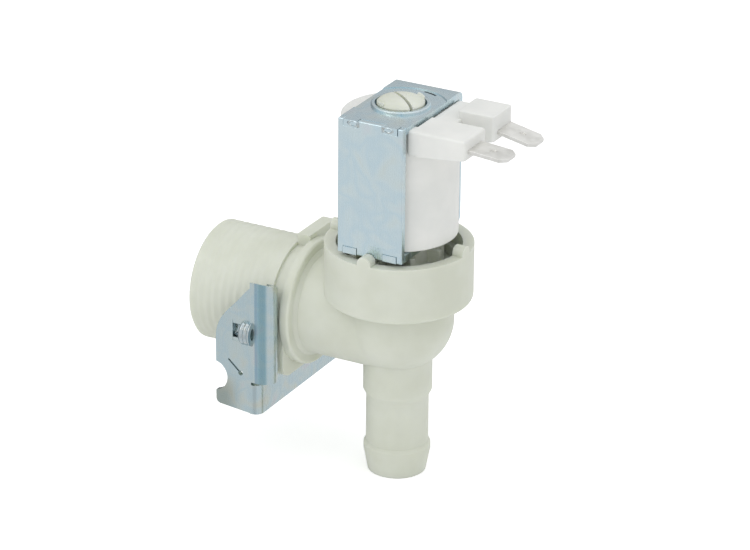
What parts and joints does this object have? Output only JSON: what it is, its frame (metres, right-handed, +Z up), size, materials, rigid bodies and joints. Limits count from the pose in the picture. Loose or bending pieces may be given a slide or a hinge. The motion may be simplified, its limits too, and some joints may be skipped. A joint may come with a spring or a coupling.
{
  "type": "solenoid valve",
  "caption": "Pilot-operated solenoid water-inlet valve with a threaded inlet, a hose-tail outlet, a sheet-metal mounting bracket and a coil with flat tabs.",
  "frame": {"origin": "centre of the inlet's open end, on the axis of the inlet thread", "axes": "+X runs along the inlet into the valve, +Z runs up the coil axis, so the hose tail points down along -Z and the tabs point along +X"},
  "size_m": [0.0738, 0.0402, 0.0871],
  "materials": {
    "natural_polyamide": "moulded natural polyamide, satin",
    "guide_polyamide": "moulded natural polyamide, satin",
    "white_polyester": "moulded white thermoplastic, smooth",
    "bobbin_plastic": "moulded plastic",
    "copper_wire": "enamelled copper wire",
    "zinc_plated_strip": "pressed steel strip, bright zinc plated",
    "zinc_plated_sheet": "pressed steel sheet, bright zinc plated",
    "tinned_brass": "stamped, tin plated",
    "soft_iron": "turned magnetic stainless steel",
    "tip_rubber": "moulded rubber",
    "stainless_wire": "drawn stainless spring wire",
    "diaphragm_rubber": "moulded rubber",
    "insert_plastic": "moulded plastic",
    "screen_plastic": "moulded plastic"
  },
  "bodies": {
    "valve": {"valve_body": "natural_polyamide", "mounting_bracket": "zinc_plated_sheet", "inlet_strainer": "screen_plastic", "flow_regulator_holder": "insert_plastic", "flow_regulator_washer": "diaphragm_rubber", "diaphragm": "diaphragm_rubber", "core_guide": "guide_polyamide", "plunger_spring": "stainless_wire", "yoke_frame": "zinc_plated_strip", "yoke_front_plate": "zinc_plated_strip", "lower_flux_sleeve": "soft_iron", "upper_flux_sleeve": "soft_iron", "coil_bobbin": "bobbin_plastic", "copper_winding": "copper_wire", "coil_overmould": "white_polyester", "terminal_near": "tinned_brass", "terminal_far": "tinned_brass"},
    "plunger": {"plunger": "soft_iron", "plunger_tip": "tip_rubber"},
    "diaphragm_disc": {"diaphragm_insert": "insert_plastic"}
  },
  "joints": [
    {"name": "plunger_lift", "type": "slide", "parent": "valve", "child": "plunger", "axis": [0, 0, 1], "range_m": [0, 0.0026], "stiffness_N_per_m": 180, "springref_m": -0.006, "deforming": ["plunger_spring"]},
    {"name": "diaphragm_lift", "type": "slide", "parent": "valve", "child": "diaphragm_disc", "axis": [0, 0, 1], "range_m": [0, 0.0018], "deforming": ["diaphragm"]}
  ],
  "couplings": [
    {"joint": "diaphragm_lift", "follows": "plunger_lift", "ratio": 0.6923}
  ]
}
